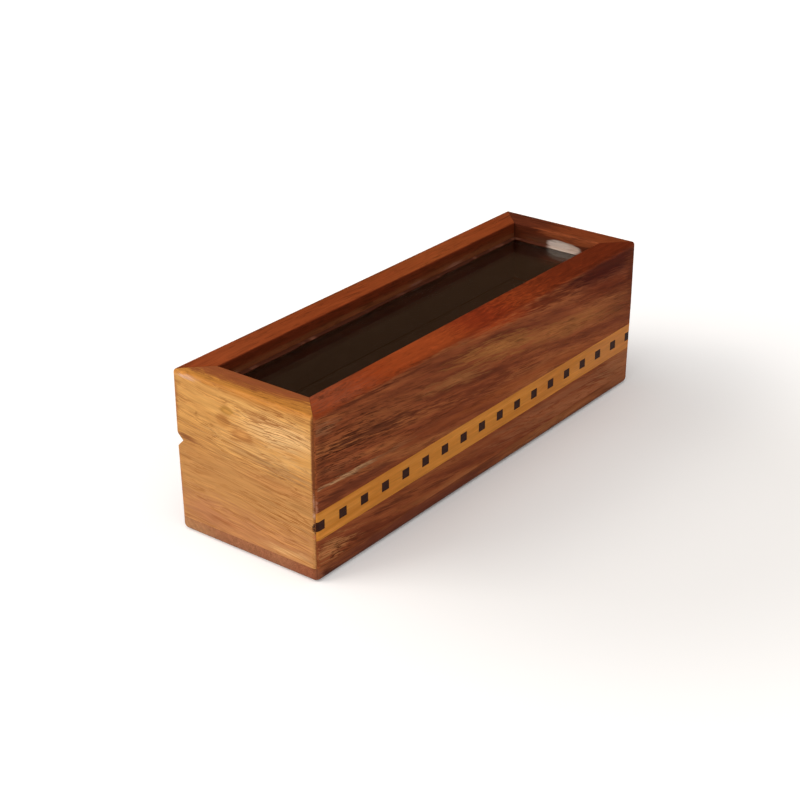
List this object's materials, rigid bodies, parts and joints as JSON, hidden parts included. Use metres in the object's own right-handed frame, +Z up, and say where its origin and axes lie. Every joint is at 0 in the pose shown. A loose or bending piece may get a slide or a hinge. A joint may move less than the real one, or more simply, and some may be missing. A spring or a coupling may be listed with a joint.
{
  "type": "wooden box with hinged glass lid",
  "caption": "Long narrow wooden box, mitred at the corners, with a hinged lid that frames a sunken glass pane, a V groove along the back and an inlaid band on the front.",
  "frame": {"origin": "centre of the underside, on the table", "axes": "+X along the box to its right end, +Y from the front with the band to the back with the hinges, +Z up"},
  "size_m": [0.2, 0.062, 0.0616],
  "materials": {
    "front_wood": "oiled and waxed, satin",
    "back_wood": "oiled and waxed, satin",
    "left_wood": "oiled and waxed, satin",
    "right_wood": "oiled and waxed, satin",
    "bottom_wood": "oiled and waxed, satin",
    "banding_light": "oiled and waxed, satin",
    "banding_dark": "oiled and waxed, satin",
    "pane": "clear float glass",
    "suede": "suede cloth on card",
    "brass": "turned"
  },
  "bodies": {
    "base": {"bottom_board": "bottom_wood", "base_front_board": "front_wood", "base_back_board": "back_wood", "base_left_board": "left_wood", "base_right_board": "right_wood", "banding_strip": "banding_light", "banding_squares": "banding_dark", "floor_pad": "suede", "base_front_liner": "suede", "base_back_liner": "suede", "base_left_liner": "suede", "base_right_liner": "suede", "left_hinge_base_barrel": "brass", "right_hinge_base_barrel": "brass", "left_hinge_pin": "brass", "right_hinge_pin": "brass"},
    "lid": {"lid_front_board": "front_wood", "lid_back_board": "back_wood", "lid_left_board": "left_wood", "lid_right_board": "right_wood", "glass_pane": "pane", "lid_front_liner": "suede", "lid_back_liner": "suede", "lid_left_liner": "suede", "lid_right_liner": "suede", "left_hinge_lid_barrel": "brass", "right_hinge_lid_barrel": "brass"}
  },
  "joints": [
    {"name": "lid_hinge", "type": "hinge", "parent": "base", "child": "lid", "pos_m": [0, 0.0278, 0.03545], "axis": [-1, 0, 0], "range_deg": [0, 90]}
  ]
}
